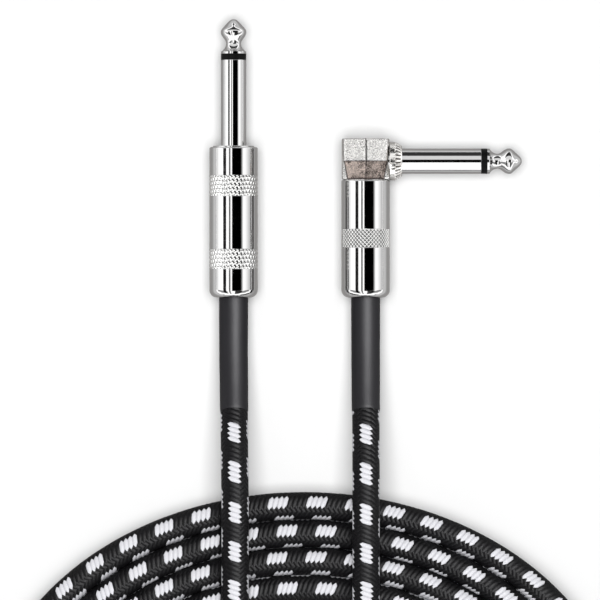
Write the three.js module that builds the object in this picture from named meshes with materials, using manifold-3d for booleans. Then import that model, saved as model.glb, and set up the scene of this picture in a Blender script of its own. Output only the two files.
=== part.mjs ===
// Instrument cable: a 6.35 mm straight plug and a 6.35 mm right-angle plug on a braided cord.
// Millimetres. The cable lies flat: +X right, +Y the way the straight plug points, +Z up from the table.
// The origin is on the table, under the middle of the two plugs.

import * as THREE from 'three';
import { ConvexGeometry } from 'three/addons/geometries/ConvexGeometry.js';
import { mergeVertices } from 'three/addons/utils/BufferGeometryUtils.js';
import Module from 'manifold-3d';

const wasm = await Module();
wasm.setup();

// ---- Driving dimensions ----

const fingerRadius = 6.35 / 2;
const straightFingerLength = 32;
const angleFingerLength = 30;
const tipLength = 8.65;
const ringLength = 1.55;
const rodRadius = 1.15; // the tip's rod, which runs back through the finger
const liningRadius = 1.75; // the insulating sleeve round that rod

const barrelRadius = 6.05;
const straightBarrelLength = 37.6;
const angleBarrelLength = 29.4;
const barrelWall = 0.85;
const barrelRearWall = 2;
const barrelEdge = 1.9;

const threadRadius = 4.9;
const threadLength = 7;
const registerRadius = 5.2;
const registerLength = 0.6;
const registerProud = 0.3;

const headHalfWidth = 5.95;
const headHeight = 10.3;
const fingerAboveBarrel = 4.7;
const collarLength = 3.1;

const cordRadius = 3.4;
const jacketRadius = 2.9; // the cord's jacket without its braid, inside the barrel
const bootRadius = 3.65;
const bootInside = 7.6;
const bootOutside = 28;

const coilCentre = new THREE.Vector2(-15.4, -147.8);
const coilHalfWidth = 81;
const coilHalfLength = 64.5;
const coilBundle = 27.6;
const coilHeight = 12.8;

const plugSpacing = 33;
const gap = 0.15; // between fixed pieces that touch on the real cable
const cordGap = 0.3; // between the cord's pieces, and round the boot
const roundSides = 32;
const smallSides = 20;
const cordSides = 10;

// The plugs lie with their barrels on the table and their rear ends level.
const barrelRearY = -(straightFingerLength + straightBarrelLength) / 2;
const straightShoulderY = barrelRearY + straightBarrelLength;
const angleShoulderY = barrelRearY + angleBarrelLength;
const straightX = -plugSpacing;
const angleX = 0;

// ---- The cord's two free ends, from inside each barrel to where they join the coil ----

const straightLead = [
  [-33.0, -27.2, 6.05],
  [-33.0, -34.8, 6.05],
  [-33.0, -41.0, 6.05],
  [-33.0, -48.0, 6.7],
  [-32.9, -56.0, 8.7],
  [-32.8, -64.0, 11.5],
  [-32.7, -72.0, 14.3],
  [-32.6, -79.0, 16.0],
  [-32.5, -86.0, 16.6],
  [-32.5, -95.0, 16.6],
  [-32.5, -104.0, 16.6],
  [-32.5, -112.5, 16.6],
  [-32.5, -119.0, 16.1],
  [-32.5, -127.0, 13.9],
  [-32.5, -135.0, 10.7],
  [-32.5, -143.0, 7.3],
  [-32.5, -151.0, 4.6],
  [-32.5, -158.0, 3.5],
  [-32.2, -166.0, 3.4],
  [-30.5, -172.5, 3.4],
  [-28.2, -177.0, 3.4],
];

const angleLead = [
  [0.0, -27.2, 6.05],
  [0.0, -34.8, 6.05],
  [0.0, -41.0, 6.05],
  [0.0, -48.0, 6.7],
  [0.0, -56.0, 8.7],
  [0.0, -64.0, 11.5],
  [0.0, -72.0, 14.3],
  [0.0, -79.0, 16.0],
  [0.0, -86.0, 16.6],
  [0.0, -95.0, 16.6],
  [0.0, -104.0, 16.6],
  [0.0, -112.5, 16.6],
  [0.0, -118.0, 16.0],
  [0.0, -125.0, 13.7],
  [0.0, -132.0, 10.2],
  [0.0, -139.0, 6.8],
  [0.0, -146.0, 4.2],
  [-0.1, -153.0, 3.4],
  [-1.0, -160.0, 3.8],
  [-3.8, -167.0, 4.9],
  [-8.2, -173.5, 6.6],
  [-13.5, -178.2, 8.4],
  [-18.6, -180.9, 9.8],
];

// ---- Materials ----

function finish(colour, roughness, metalness) {
  return new THREE.MeshStandardMaterial({ color: colour, roughness, metalness });
}

const chrome = finish(0xd8d8da, 0.12, 1);
const castNickel = finish(0xbdb8b4, 0.45, 1);
const brass = finish(0xc8a560, 0.35, 1);
const blackPlastic = finish(0x111113, 0.45, 0);
const clearPlastic = finish(0xd9d6cc, 0.4, 0);
const shrinkTube = finish(0x303034, 0.6, 0);
const rubber = finish(0x17171a, 0.7, 0);
const copperWire = finish(0xa23a2c, 0.5, 0);
const braid = finish(0x19191b, 0.85, 0);

// ---- Shape helpers ----

const part = new THREE.Group();
const straightPlug = new THREE.Group();
const anglePlug = new THREE.Group();
const angleFinger = new THREE.Group();

function addPiece(group, name, geometry, material) {
  const mesh = new THREE.Mesh(geometry, material);
  mesh.name = name;
  group.add(mesh);
}

// Turns a profile of [radius, y] points round the Y axis.
function turned(profile, sides = roundSides) {
  const points = profile.map(([radius, y]) => new THREE.Vector2(radius, y));
  return new THREE.LatheGeometry(points, sides);
}

// A hollow profile is closed by repeating its first point.
function turnedHollow(profile, sides = roundSides) {
  return turned([...profile, profile[0]], sides);
}

function ringBetween(innerRadius, outerRadius, low, high, sides = roundSides) {
  return turnedHollow([
    [innerRadius, low],
    [outerRadius, low],
    [outerRadius, high],
    [innerRadius, high],
  ], sides);
}

function rod(radius, low, high, sides = smallSides) {
  return turned([[0, low], [radius, low], [radius, high], [0, high]], sides);
}

function asSolid(geometry) {
  const bare = geometry.index ? geometry.toNonIndexed() : geometry.clone();
  bare.deleteAttribute('normal');
  bare.deleteAttribute('uv');
  const merged = mergeVertices(bare, 1e-4);
  return new wasm.Manifold(new wasm.Mesh({
    numProp: 3,
    vertProperties: merged.attributes.position.array,
    triVerts: new Uint32Array(merged.index.array),
  }));
}

function asGeometry(solid) {
  const mesh = solid.getMesh();
  const geometry = new THREE.BufferGeometry();
  geometry.setAttribute('position', new THREE.BufferAttribute(mesh.vertProperties, 3));
  geometry.setIndex(new THREE.BufferAttribute(mesh.triVerts, 1));
  return geometry;
}

// A length of round cord along a list of points.
function cordAlong(points, radius, steps) {
  const path = new THREE.CatmullRomCurve3(points.map(([x, y, z]) => new THREE.Vector3(x, y, z)));
  const section = new THREE.Shape();
  for (let side = 0; side < cordSides; side += 1) {
    const angle = side / cordSides * 2 * Math.PI;
    const [x, y] = [radius * Math.cos(angle), radius * Math.sin(angle)];
    if (side === 0) {
      section.moveTo(x, y);
    } else {
      section.lineTo(x, y);
    }
  }
  section.closePath();
  return new THREE.ExtrudeGeometry(section, { steps, extrudePath: path, bevelEnabled: false });
}

// ---- The contact finger, the same on both plugs: it points along +Y from its shoulder at y = 0 ----

// The tip's outline as [radius, distance back from its end].
const tipOutline = [
  [3.175, 8.2],
  [2.36, 7.4],
  [2.0, 6.6],
  [2.05, 5.8],
  [2.85, 4.4],
  [3.175, 3.5],
  [2.3, 2.0],
  [1.1, 0.65],
];

function tipContact(fingerLength, rodStart) {
  const back = fingerLength - tipLength;
  return turned([
    [0, rodStart],
    [rodRadius, rodStart],
    [rodRadius, back],
    [fingerRadius, back],
    ...tipOutline.map(([radius, fromEnd]) => [radius, fingerLength - fromEnd]),
    [0, fingerLength],
  ]);
}

// The black ring behind the tip, in one piece with the sleeve that lines the finger's bore.
function tipInsulator(fingerLength, start) {
  const boreRadius = rodRadius + gap;
  const ringFront = fingerLength - tipLength - gap;
  const ringBack = ringFront + gap - ringLength + gap;
  return turnedHollow([
    [boreRadius, start],
    [liningRadius, start],
    [liningRadius, ringBack],
    [fingerRadius, ringBack],
    [fingerRadius, ringFront],
    [boreRadius, ringFront],
  ]);
}

const fingerBore = liningRadius + gap;

// The threaded boss that a barrel screws onto: a short plain register, then the thread, behind y = 0.
const bossProfile = [
  [threadRadius, -threadLength],
  [threadRadius, -registerLength],
  [registerRadius, -registerLength],
  [registerRadius, registerProud],
];

// ---- The screw-on barrel, its inner liner, and what lies inside it, behind y = 0 ----

function barrel(length) {
  const counterbore = registerRadius + gap;
  const counterboreDepth = registerLength + gap;
  const threadBore = threadRadius + gap;
  const innerRadius = barrelRadius - barrelWall;
  const rearHole = bootRadius + cordGap;
  const chamfer = 0.3;
  const profile = [
    [counterbore, 0],
    [counterbore, -counterboreDepth],
    [threadBore, -counterboreDepth],
    [threadBore, -threadLength],
    [innerRadius, -threadLength],
    [innerRadius, -length + barrelRearWall],
    [rearHole, -length + barrelRearWall],
    [rearHole, -length],
  ];
  const edgeSteps = 4;
  for (let step = 0; step <= edgeSteps; step += 1) {
    const turn = step / edgeSteps * Math.PI / 2;
    profile.push([
      barrelRadius - barrelEdge * (1 - Math.sin(turn)),
      -length + barrelEdge * (1 - Math.cos(turn)),
    ]);
  }
  profile.push([barrelRadius, -chamfer], [barrelRadius - chamfer, 0]);
  return turnedHollow(profile);
}

function liner(barrelLength) {
  const outerRadius = threadRadius;
  const wall = 0.6;
  const frontClearance = 1.5;
  const front = -threadLength - frontClearance;
  const back = -barrelLength + barrelRearWall + cordGap;
  return ringBetween(outerRadius - wall, outerRadius, back, front);
}

// The tail that grips the cord's jacket: a strip from the boss, ending in a half-round cradle.
function groundClamp(front, cradleFront, cradleBack) {
  const jacketClearance = jacketRadius + gap;
  const thickness = 0.6;
  const outer = jacketClearance + thickness;
  const stripWidth = 3;
  const strip = new THREE.BoxGeometry(stripWidth, front - cradleBack, thickness);
  strip.translate(0, (front + cradleBack) / 2, -outer + thickness / 2);
  const cradle = new THREE.BoxGeometry(2 * outer, cradleFront - cradleBack, outer);
  cradle.translate(0, (cradleFront + cradleBack) / 2, -outer / 2);
  const pastEnds = 1;
  const around = rod(outer, cradleBack - pastEnds, cradleFront + pastEnds, roundSides);
  const hollow = rod(jacketClearance, cradleBack - pastEnds, cradleFront + pastEnds, roundSides);
  const tray = asSolid(cradle).intersect(asSolid(around)).subtract(asSolid(hollow));
  return asGeometry(tray.add(asSolid(strip)));
}

function addCordEnd(group, prefix, barrelLength, wireFront) {
  const wireRadius = 0.9;
  const jacketShown = 9; // the length of bare jacket ahead of the boot
  const jacketBack = -barrelLength + bootInside + cordGap;
  const jacketFront = jacketBack + jacketShown;
  addPiece(group, `${prefix}_jacket_end`, rod(jacketRadius, jacketBack, jacketFront), rubber);
  addPiece(group, `${prefix}_inner_wire`, rod(wireRadius, jacketFront + gap, wireFront), copperWire);
  const cradleFront = jacketFront - 1;
  const cradleBack = jacketBack + 2;
  const clamp = groundClamp(-threadLength - gap, cradleFront, cradleBack);
  addPiece(group, `${prefix}_ground_clamp`, clamp, brass);
}

// ---- Straight plug ----

function buildStraightPlug() {
  const ringBack = straightFingerLength - tipLength - ringLength;
  const finger = turnedHollow([
    [fingerBore, -threadLength],
    ...bossProfile,
    [fingerRadius, registerProud],
    [fingerRadius, ringBack],
    [fingerBore, ringBack],
  ]);
  const washerRadius = 2.8;
  const washerThickness = 0.65;
  const washerFront = -threadLength - gap;
  const washerBack = washerFront - washerThickness;
  const lugRadius = 2.2;
  const lugThickness = 0.6;
  const lugFront = washerBack - 1;
  const lugBack = lugFront - lugThickness;
  const tip = tipContact(straightFingerLength, lugFront + gap);
  const insulator = tipInsulator(straightFingerLength, washerBack);
  const washer = ringBetween(fingerBore, washerRadius, washerBack, washerFront, smallSides);
  addPiece(straightPlug, 'straight_finger', finger, chrome);
  addPiece(straightPlug, 'straight_tip', tip, chrome);
  addPiece(straightPlug, 'straight_tip_insulator', insulator, blackPlastic);
  addPiece(straightPlug, 'straight_rear_washer', washer, blackPlastic);
  addPiece(straightPlug, 'straight_tip_lug', rod(lugRadius, lugBack, lugFront), brass);
  addPiece(straightPlug, 'straight_barrel', barrel(straightBarrelLength), chrome);
  addPiece(straightPlug, 'straight_liner', liner(straightBarrelLength), clearPlastic);
  addCordEnd(straightPlug, 'straight', straightBarrelLength, lugBack - gap);
  straightPlug.position.set(straightX, straightShoulderY, barrelRadius);
  part.add(straightPlug);
}

// ---- Right-angle plug ----

// Half of the head's section as [x, z], from its ridge to its side: from the finger's axis up, and at
// the head's foot, where it meets the barrel.
const headSection = [[0, 6.0], [5.4, 3.7], [headHalfWidth, 2.6]];
const footSection = [[0, 4.9], [4.5, 3.15], [headHalfWidth, 2.3]];

// The head stands on the barrel's end. Two sloping faces meet in a ridge on top and another below, with
// a narrow upright face at each side, and below the finger it all slopes in to the foot.
function headBlock() {
  const levels = [
    [footSection, gap],
    [headSection, fingerAboveBarrel],
    [headSection, headHeight],
  ];
  const corners = [];
  for (const [section, y] of levels) {
    for (const [x, z] of section) {
      for (const side of x > 0 ? [-1, 1] : [1]) {
        corners.push(new THREE.Vector3(side * x, y, z), new THREE.Vector3(side * x, y, -z));
      }
    }
  }
  return asSolid(new ConvexGeometry(corners));
}

function buildHead() {
  const cavityRadius = 3.4;
  const cavityTop = 8;
  const spigot = turned([[0, -threadLength], ...bossProfile, [0, registerProud]]);
  const cavity = rod(cavityRadius, -threadLength - 1, cavityTop, roundSides);
  const sideHole = rod(fingerRadius + gap, 0, headHalfWidth + 1, roundSides);
  sideHole.rotateZ(-Math.PI / 2);
  sideHole.translate(0, fingerAboveBarrel, 0);
  const head = headBlock()
    .add(asSolid(spigot))
    .subtract(asSolid(cavity))
    .subtract(asSolid(sideHole));
  return asGeometry(head);
}

function buildAngleFinger() {
  const shankInWall = 2.4; // the stretch of finger inside the head's side wall
  const shankBack = -collarLength - shankInWall;
  const insulatorBack = shankBack - 0.8;
  const rodBack = insulatorBack - 1.15;
  const ringBack = angleFingerLength - tipLength - ringLength;
  const collarBore = fingerRadius + gap;
  const collarRadius = 4.8;
  const collarFrontRadius = 3.85;
  const collarTaper = 1.8;
  const tube = ringBetween(fingerBore, fingerRadius, shankBack, ringBack);
  const collar = turnedHollow([
    [collarBore, -collarLength + gap],
    [collarRadius, -collarLength + gap],
    [collarRadius, -collarTaper],
    [collarFrontRadius, 0],
    [collarBore, 0],
  ]);
  const insulator = tipInsulator(angleFingerLength, insulatorBack);
  addPiece(angleFinger, 'angle_finger', tube, chrome);
  addPiece(angleFinger, 'angle_collar', collar, castNickel);
  addPiece(angleFinger, 'angle_tip', tipContact(angleFingerLength, rodBack), chrome);
  addPiece(angleFinger, 'angle_tip_insulator', insulator, blackPlastic);
  angleFinger.rotation.z = -Math.PI / 2;
  angleFinger.position.set(headHalfWidth + collarLength, fingerAboveBarrel, 0);
  anglePlug.add(angleFinger);
}

function buildAnglePlug() {
  addPiece(anglePlug, 'angle_head', buildHead(), castNickel);
  buildAngleFinger();
  addPiece(anglePlug, 'angle_barrel', barrel(angleBarrelLength), chrome);
  addPiece(anglePlug, 'angle_liner', liner(angleBarrelLength), clearPlastic);
  const wireFront = 5.5; // inside the head, beside the tip's rod
  addCordEnd(anglePlug, 'angle', angleBarrelLength, wireFront);
  anglePlug.position.set(angleX, angleShoulderY, barrelRadius);
  part.add(anglePlug);
}

// ---- Cord: a boot and a free end at each plug, and the coil between them ----

// The part of a route between two distances along it, as evenly spaced points.
function stretch(route, from, to, count) {
  const path = new THREE.CatmullRomCurve3(route.map(([x, y, z]) => new THREE.Vector3(x, y, z)));
  const length = path.getLength();
  const points = [];
  for (let index = 0; index <= count; index += 1) {
    const along = from + (Math.min(to, length) - from) * index / count;
    points.push(path.getPointAt(Math.min(1, along / length)).toArray());
  }
  return points;
}

function addCordSide(prefix, route) {
  const bootSteps = 12;
  const leadSteps = 34;
  const bootEnd = bootInside + bootOutside;
  const bootPoints = stretch(route, 0, bootEnd, bootSteps);
  const leadPoints = stretch(route, bootEnd + cordGap, Infinity, leadSteps);
  addPiece(part, `${prefix}_boot`, cordAlong(bootPoints, bootRadius, bootSteps), shrinkTube);
  addPiece(part, `${prefix}_lead`, cordAlong(leadPoints, cordRadius, leadSteps), braid);
}

// The oval ring that the coil's turns fill, lying on the table.
function coilRing() {
  const curveSegments = 64;
  const shape = new THREE.Shape();
  shape.absellipse(0, 0, coilHalfWidth, coilHalfLength, 0, 2 * Math.PI);
  const inside = new THREE.Path();
  inside.absellipse(0, 0, coilHalfWidth - coilBundle, coilHalfLength - coilBundle, 0, 2 * Math.PI);
  shape.holes.push(inside);
  const ring = new THREE.ExtrudeGeometry(shape, { depth: coilHeight, bevelEnabled: false, curveSegments });
  ring.translate(coilCentre.x, coilCentre.y, 0);
  return ring;
}

buildStraightPlug();
buildAnglePlug();
addCordSide('straight', straightLead);
addCordSide('angle', angleLead);
addPiece(part, 'cord_coil', coilRing(), braid);

export default part;
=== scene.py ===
"""An instrument cable: a straight and a right-angle 6.35 mm jack plug on a braided cord in an oval coil.

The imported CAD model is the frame. The plugs, the boots and the cord are made again here, finer, in the
places that the frame gives, and the pieces inside the barrels stay as they are. Lengths are in metres;
a number times MM is in millimetres. The lists of points, the weave's sizes and the materials' distances
are in millimetres.
"""

import math

import bmesh
import bpy
from mathutils import Matrix, Vector, noise


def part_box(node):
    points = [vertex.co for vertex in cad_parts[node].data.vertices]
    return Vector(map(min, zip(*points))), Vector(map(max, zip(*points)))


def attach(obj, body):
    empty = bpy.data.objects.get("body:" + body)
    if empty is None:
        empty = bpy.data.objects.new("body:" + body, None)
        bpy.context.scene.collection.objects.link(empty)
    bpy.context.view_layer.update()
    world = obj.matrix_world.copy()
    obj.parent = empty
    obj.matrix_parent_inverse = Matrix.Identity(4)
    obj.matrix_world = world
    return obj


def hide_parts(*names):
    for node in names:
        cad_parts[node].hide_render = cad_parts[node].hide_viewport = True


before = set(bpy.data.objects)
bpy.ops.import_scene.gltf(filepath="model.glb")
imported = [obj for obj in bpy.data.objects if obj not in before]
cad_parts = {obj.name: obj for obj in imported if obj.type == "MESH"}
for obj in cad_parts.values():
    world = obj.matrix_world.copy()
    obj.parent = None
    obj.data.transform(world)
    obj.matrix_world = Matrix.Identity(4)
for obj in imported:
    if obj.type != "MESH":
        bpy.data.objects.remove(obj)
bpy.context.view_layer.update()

MM = 0.001
TURN = 2 * math.pi

# ---- Sizes ----
# Those of whole pieces are as on the CAD model, but each boot is 1.2 mm longer, to where the photo's ends.

FINGER_RADIUS = 3.175 * MM
STRAIGHT_FINGER = 32 * MM
ANGLE_FINGER = 30 * MM
TIP_LENGTH = 8.65 * MM
TIP_RIM = 8.2 * MM  # from the tip's end back to its straight rim
TIP_STEP = 0.12 * MM  # between the rows of points on the tip's curve
RING_LENGTH = 1.55 * MM
ROD_RADIUS = 1.15 * MM
LINING_RADIUS = 1.75 * MM
LINING_PAST_BOSS = 0.8 * MM
ROD_PAST_BOSS = 1.65 * MM
ROD_PAST_SHANK = 1.95 * MM

BARREL_RADIUS = 6.05 * MM
BARREL_WALL = 0.85 * MM
REAR_WALL = 2 * MM
REAR_EDGE = 1.9 * MM
REAR_HOLE = 3.95 * MM
MOUTH_DEPTH = 0.75 * MM  # of the recess that takes the register
BARREL_SIDES = 144

# Knurls: a band is (start, end), measured back from the barrel's mouth.
PEARL_BANDS = [(7.1 * MM, 12.2 * MM), (25.5 * MM, 30.4 * MM)]
DIAMOND_BANDS = [(12.3 * MM, 16.9 * MM)]
KNURL_PROUD = 0.04 * MM
KNURL_DEPTH = 0.25 * MM
KNURL_GROOVE = 0.2 * MM  # how far the barrel is turned down under a knurl
KNURL_ROW_STEP = 0.1 * MM  # between the rows of points in a knurl
PEARLS_ROUND = 31
PEARL_PITCH = 1.02 * MM
PEARL_COLUMNS = 12  # columns of points to each pearl
PEARL_SIZE = 0.56  # a pearl's radius, as a share of the step from one to the next
DIAMONDS_ROUND = 39
DIAMOND_PITCH = 1.0 * MM
DIAMOND_COLUMNS = 10  # columns of points to each diamond

THREAD_RADIUS = 4.9 * MM
THREAD_LENGTH = 7 * MM
THREAD_PITCH = 1 * MM
THREAD_DEPTH = 0.55 * MM
THREAD_STEEPNESS = 1.3
THREAD_ROWS = 14  # rows of points to each pitch
THREAD_SIDES = 72
REGISTER_RADIUS = 5.2 * MM
REGISTER_LENGTH = 0.6 * MM
REGISTER_PROUD = 0.3 * MM
COLLAR_LENGTH = 3.1 * MM
SHANK_IN_HEAD = 2.4 * MM  # of the right-angle plug's finger, past its collar
GAP = 0.15 * MM
FIT = 0.02 * MM  # between pieces that are pressed together
SMALL_EDGE = 0.08 * MM  # rounding on the finger's edges

HEAD_HALF_WIDTH = 5.95 * MM
HEAD_HEIGHT = 10.3 * MM
FINGER_ABOVE_BARREL = 4.7 * MM

CORD_RADIUS = 3.4 * MM
BOOT_RADIUS = 3.65 * MM
BOOT_LENGTH = 36.8 * MM
BOOT_TAPER = 0.12 * MM
BOOT_WANDER = 0.03 * MM  # how far slow unevenness moves its surface
BOOT_RIPPLE = 0.012 * MM  # and quick unevenness
BOOT_STEP = 0.4 * MM
BOOT_SIDES = 56
LIP_START = 0.986  # the lip's values are shares of the boot's length
LIP_WANDER = 0.006
LIP_LENGTH = 0.012

COIL_CENTRE = Vector((-15.4 * MM, -147.8 * MM))
COIL_HALF_WIDTH = 81 * MM
COIL_HALF_LENGTH = 64.5 * MM

# ---- Places, from the frame ----

barrel_low, barrel_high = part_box("straight_barrel")
angle_low, angle_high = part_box("angle_barrel")
STRAIGHT_AXIS = (barrel_low.x + barrel_high.x) / 2
ANGLE_AXIS = (angle_low.x + angle_high.x) / 2
AXIS_HEIGHT = (barrel_low.z + barrel_high.z) / 2
STRAIGHT_SHOULDER = Vector((STRAIGHT_AXIS, barrel_high.y, AXIS_HEIGHT))
ANGLE_SHOULDER = Vector((ANGLE_AXIS, angle_high.y, AXIS_HEIGHT))
STRAIGHT_BARREL = barrel_high.y - barrel_low.y
ANGLE_BARREL = angle_high.y - angle_low.y

# A plug's own frame has its shoulder at y = 0 and points along +Y. The angle plug's finger points along +X.
straight_place = Matrix.Translation(STRAIGHT_SHOULDER)
angle_place = Matrix.Translation(ANGLE_SHOULDER)
finger_start = Vector((HEAD_HALF_WIDTH + COLLAR_LENGTH, FINGER_ABOVE_BARREL, 0))
angle_finger_place = angle_place @ Matrix.Translation(finger_start) @ Matrix.Rotation(-TURN / 4, 4, "Z")

# ---- Camera: straight above, from far off ----

VIEW_CENTRE = Vector((-16.4 * MM, -35.4 * MM))
VIEW_WIDTH = 150 * MM
CAMERA_HEIGHT = 1.5
SENSOR_WIDTH = 36
CAMERA_REACH = 10  # far past the floor


def build_camera():
    data = bpy.data.cameras.new("camera")
    data.sensor_width = SENSOR_WIDTH
    data.lens = SENSOR_WIDTH * CAMERA_HEIGHT / VIEW_WIDTH
    data.clip_end = CAMERA_REACH
    camera = bpy.data.objects.new("camera", data)
    camera.location = (VIEW_CENTRE.x, VIEW_CENTRE.y, CAMERA_HEIGHT + AXIS_HEIGHT)
    bpy.context.collection.objects.link(camera)
    bpy.context.scene.camera = camera


# ---- The cord's route ----

STRAIGHT_LEAD = [
    (-33.0, -27.2, 6.05),
    (-33.0, -34.8, 6.05),
    (-33.0, -41.0, 6.05),
    (-33.0, -48.0, 6.7),
    (-32.9, -56.0, 8.7),
    (-32.8, -64.0, 11.5),
    (-32.7, -72.0, 14.3),
    (-32.6, -79.0, 16.0),
    (-32.5, -86.0, 16.6),
    (-32.5, -95.0, 16.6),
    (-32.5, -104.0, 16.6),
    (-32.5, -112.5, 16.6),
    (-32.5, -119.0, 16.1),
    (-32.5, -127.0, 13.9),
    (-32.5, -135.0, 10.7),
    (-32.5, -143.0, 7.3),
    (-32.5, -151.0, 4.6),
    (-32.5, -158.0, 3.5),
    (-32.2, -166.0, 3.4),
    (-30.5, -172.5, 3.4),
    (-28.2, -177.0, 3.4),
]

ANGLE_LEAD = [
    (0.0, -27.2, 6.05),
    (0.0, -34.8, 6.05),
    (0.0, -41.0, 6.05),
    (0.0, -48.0, 6.7),
    (0.0, -56.0, 8.7),
    (0.0, -64.0, 11.5),
    (0.0, -72.0, 14.3),
    (0.0, -79.0, 16.0),
    (0.0, -86.0, 16.6),
    (0.0, -95.0, 16.6),
    (0.0, -104.0, 16.6),
    (0.0, -112.5, 16.6),
    (0.0, -118.0, 16.0),
    (0.0, -125.0, 13.7),
    (0.0, -132.0, 10.2),
    (0.0, -139.0, 6.8),
    (0.0, -146.0, 4.2),
    (-0.1, -153.0, 3.4),
    (-1.0, -160.0, 3.8),
    (-3.8, -167.0, 4.9),
    (-8.2, -173.5, 6.6),
    (-13.5, -178.2, 8.4),
    (-18.6, -180.9, 9.8),
]

# From the straight plug's lead down into the coil's first turn, and from its last turn to the other lead.
COIL_START = [(-24.1, -182.1, 3.4), (-18.1, -186.8, 3.4), (-11.1, -189.7, 3.4)]
COIL_END = [(-41.0, -183.3, 9.6), (-33.2, -184.4, 10.1), (-27.0, -183.6, 10.3)]

# Each turn's distance in from the coil's outer edge, and its height. Three turns lie on the table, from
# the inside out, and four lie on them, from the outside in.
TABLE_HEIGHT = 3.4 * MM
TOP_HEIGHT = 9.35 * MM
TURN_PITCH = 6.9 * MM
TURNS = [
    *((20.65 * MM - turn * TURN_PITCH, TABLE_HEIGHT) for turn in range(3)),
    *((3.4 * MM + turn * TURN_PITCH, TOP_HEIGHT) for turn in range(4)),
]
FIRST_ANGLE = -78
SHIFT_START = -125
SHIFT_END = -80
DEGREE_STEP = 5
CLIMB_BULGE = 4.6 * MM
PASSING_RISE = 1.0 * MM


def smooth(share):
    share = min(1, max(0, share))
    return share * share * (3 - 2 * share)


def coil_point(degrees):
    """A point of the coil. The turns change places only where the coil is nearest to the reader."""
    turn = int((degrees - SHIFT_START) // 360)
    beyond = (degrees - SHIFT_START) % 360
    inset, height = TURNS[min(turn, len(TURNS) - 1)]
    shift = SHIFT_END - SHIFT_START
    if turn > 0 and beyond < shift:
        last_inset, last_height = TURNS[turn - 1]
        share = beyond / shift
        arch = math.sin(math.pi * share)
        inset = last_inset + (inset - last_inset) * smooth(share)
        if last_height < height:
            inset -= CLIMB_BULGE * arch
        elif height == TOP_HEIGHT:
            last_height += PASSING_RISE * arch
            height += PASSING_RISE * arch
        height = last_height + (height - last_height) * smooth(share)
    angle = math.radians(degrees)
    x = COIL_CENTRE.x + (COIL_HALF_WIDTH - inset) * math.cos(angle)
    y = COIL_CENTRE.y + (COIL_HALF_LENGTH - inset) * math.sin(angle)
    return Vector((x, y, height))


def in_metres(points):
    return [Vector(point) * MM for point in points]


def cord_route():
    coil = []
    degrees = FIRST_ANGLE
    while degrees <= SHIFT_START + 360 * len(TURNS):
        coil.append(coil_point(degrees))
        degrees += DEGREE_STEP
    start = in_metres(STRAIGHT_LEAD + COIL_START)
    end = in_metres(COIL_END + ANGLE_LEAD[::-1])
    return start + coil + end


def smooth_line(points, step):
    """Evenly spaced points on one smooth curve through the given ones."""
    fine = []
    pieces = 12
    for index in range(len(points) - 1):
        before = points[max(index - 1, 0)]
        here = points[index]
        after = points[index + 1]
        beyond = points[min(index + 2, len(points) - 1)]
        for piece in range(pieces):
            t = piece / pieces
            fine.append(0.5 * (
                2 * here
                + (after - before) * t
                + (2 * before - 5 * here + 4 * after - beyond) * t ** 2
                + (3 * here - before - 3 * after + beyond) * t ** 3
            ))
    fine.append(points[-1].copy())
    lengths = [0]
    for first, second in zip(fine, fine[1:]):
        lengths.append(lengths[-1] + (second - first).length)
    count = round(lengths[-1] / step)
    line = []
    at = 0
    for index in range(count + 1):
        wanted = lengths[-1] * index / count
        while at < len(fine) - 2 and lengths[at + 1] < wanted:
            at += 1
        share = (wanted - lengths[at]) / (lengths[at + 1] - lengths[at])
        line.append(fine[at].lerp(fine[at + 1], share))
    return line, lengths[-1]


# ---- Materials ----


class Graph:
    """The nodes of one material or world. An input is a number, a tuple or another node's output."""

    def __init__(self, tree):
        self.tree = tree
        tree.nodes.clear()

    def add(self, kind, inputs, output=0, **settings):
        node = self.tree.nodes.new(kind)
        for name, value in settings.items():
            setattr(node, name, value)
        for name, value in inputs.items():
            if isinstance(value, bpy.types.NodeSocket):
                self.tree.links.new(value, node.inputs[name])
            else:
                node.inputs[name].default_value = value
        return node.outputs[output] if node.outputs else node

    def math(self, operation, first, second=0.0, third=0.0):
        return self.add("ShaderNodeMath", {0: first, 1: second, 2: third}, operation=operation)

    def between(self, value, low, high, soft):
        """1 where value is from low to high, and 0 outside, with soft edges."""
        rise = self.ramp(value, low - soft, low + soft, 0.0, 1.0)
        fall = self.ramp(value, high - soft, high + soft, 1.0, 0.0)
        return self.math("MULTIPLY", rise, fall)

    def ramp(self, value, low, high, start, end):
        """From start, where value is low, to end, where it is high."""
        inputs = {"Value": value, 1: low, 2: high, 3: start, 4: end}
        return self.add("ShaderNodeMapRange", inputs, interpolation_type="SMOOTHSTEP")

    def mix(self, share, first, second):
        """The first colour where share is 0, and the second where it is 1."""
        inputs = {0: share, 6: first, 7: second}
        return self.add("ShaderNodeMix", inputs, output=2, data_type="RGBA")

    def split(self, vector):
        node = self.tree.nodes.new("ShaderNodeSeparateXYZ")
        self.tree.links.new(vector, node.inputs[0])
        return node.outputs

    def place(self):
        """The point in the piece's own frame, in millimetres."""
        point = self.add("ShaderNodeTexCoord", {}, output="Object")
        inputs = {0: point, "Scale": 1 / MM}
        return self.add("ShaderNodeVectorMath", inputs, operation="SCALE")

    def noise(self, point, scale, detail=3.0, roughness=0.55):
        inputs = {"Vector": point, "Scale": scale, "Detail": detail, "Roughness": roughness}
        return self.add("ShaderNodeTexNoise", inputs)

    def bump(self, height, depth):
        """Height from 0 to 1 is depth millimetres of relief."""
        inputs = {"Height": height, "Distance": depth * MM, "Strength": 1.0}
        return self.add("ShaderNodeBump", inputs)

    def surface(self, **inputs):
        named = {name.replace("_", " "): value for name, value in inputs.items()}
        shader = self.add("ShaderNodeBsdfPrincipled", named)
        self.add("ShaderNodeOutputMaterial", {"Surface": shader})


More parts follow.
